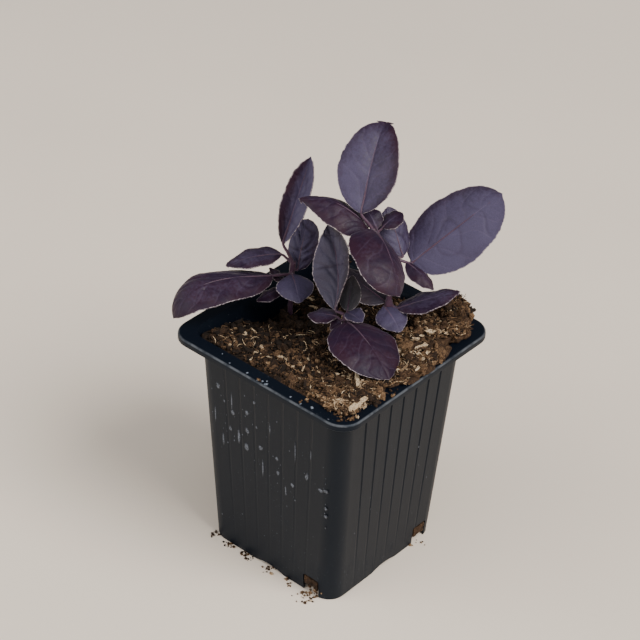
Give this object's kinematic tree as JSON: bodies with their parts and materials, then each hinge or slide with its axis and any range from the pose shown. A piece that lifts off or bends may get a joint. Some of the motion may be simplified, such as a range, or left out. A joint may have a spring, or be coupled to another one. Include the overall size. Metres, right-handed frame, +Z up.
{
  "type": "potted herb",
  "caption": "Young purple basil seedlings with waved, pointed leaves, standing in compost in a square tapered nursery pot.",
  "frame": {"origin": "centre of the pot's foot, at the level that it rests on", "axes": "+Z up along the pot's axis, +X and +Y square to the pot's walls; the corner between +X and -Y faces the picture's camera"},
  "size_m": [0.0978, 0.0988, 0.1777],
  "materials": {
    "pot": "satin black plastic",
    "compost": "rough brown fibre",
    "leaf": "soft purple leaf"
  },
  "bodies": {
    "root": {"pot": "pot", "compost": "compost", "basil_tall": "leaf", "basil_left": "leaf", "basil_front": "leaf"}
  },
  "joints": []
}
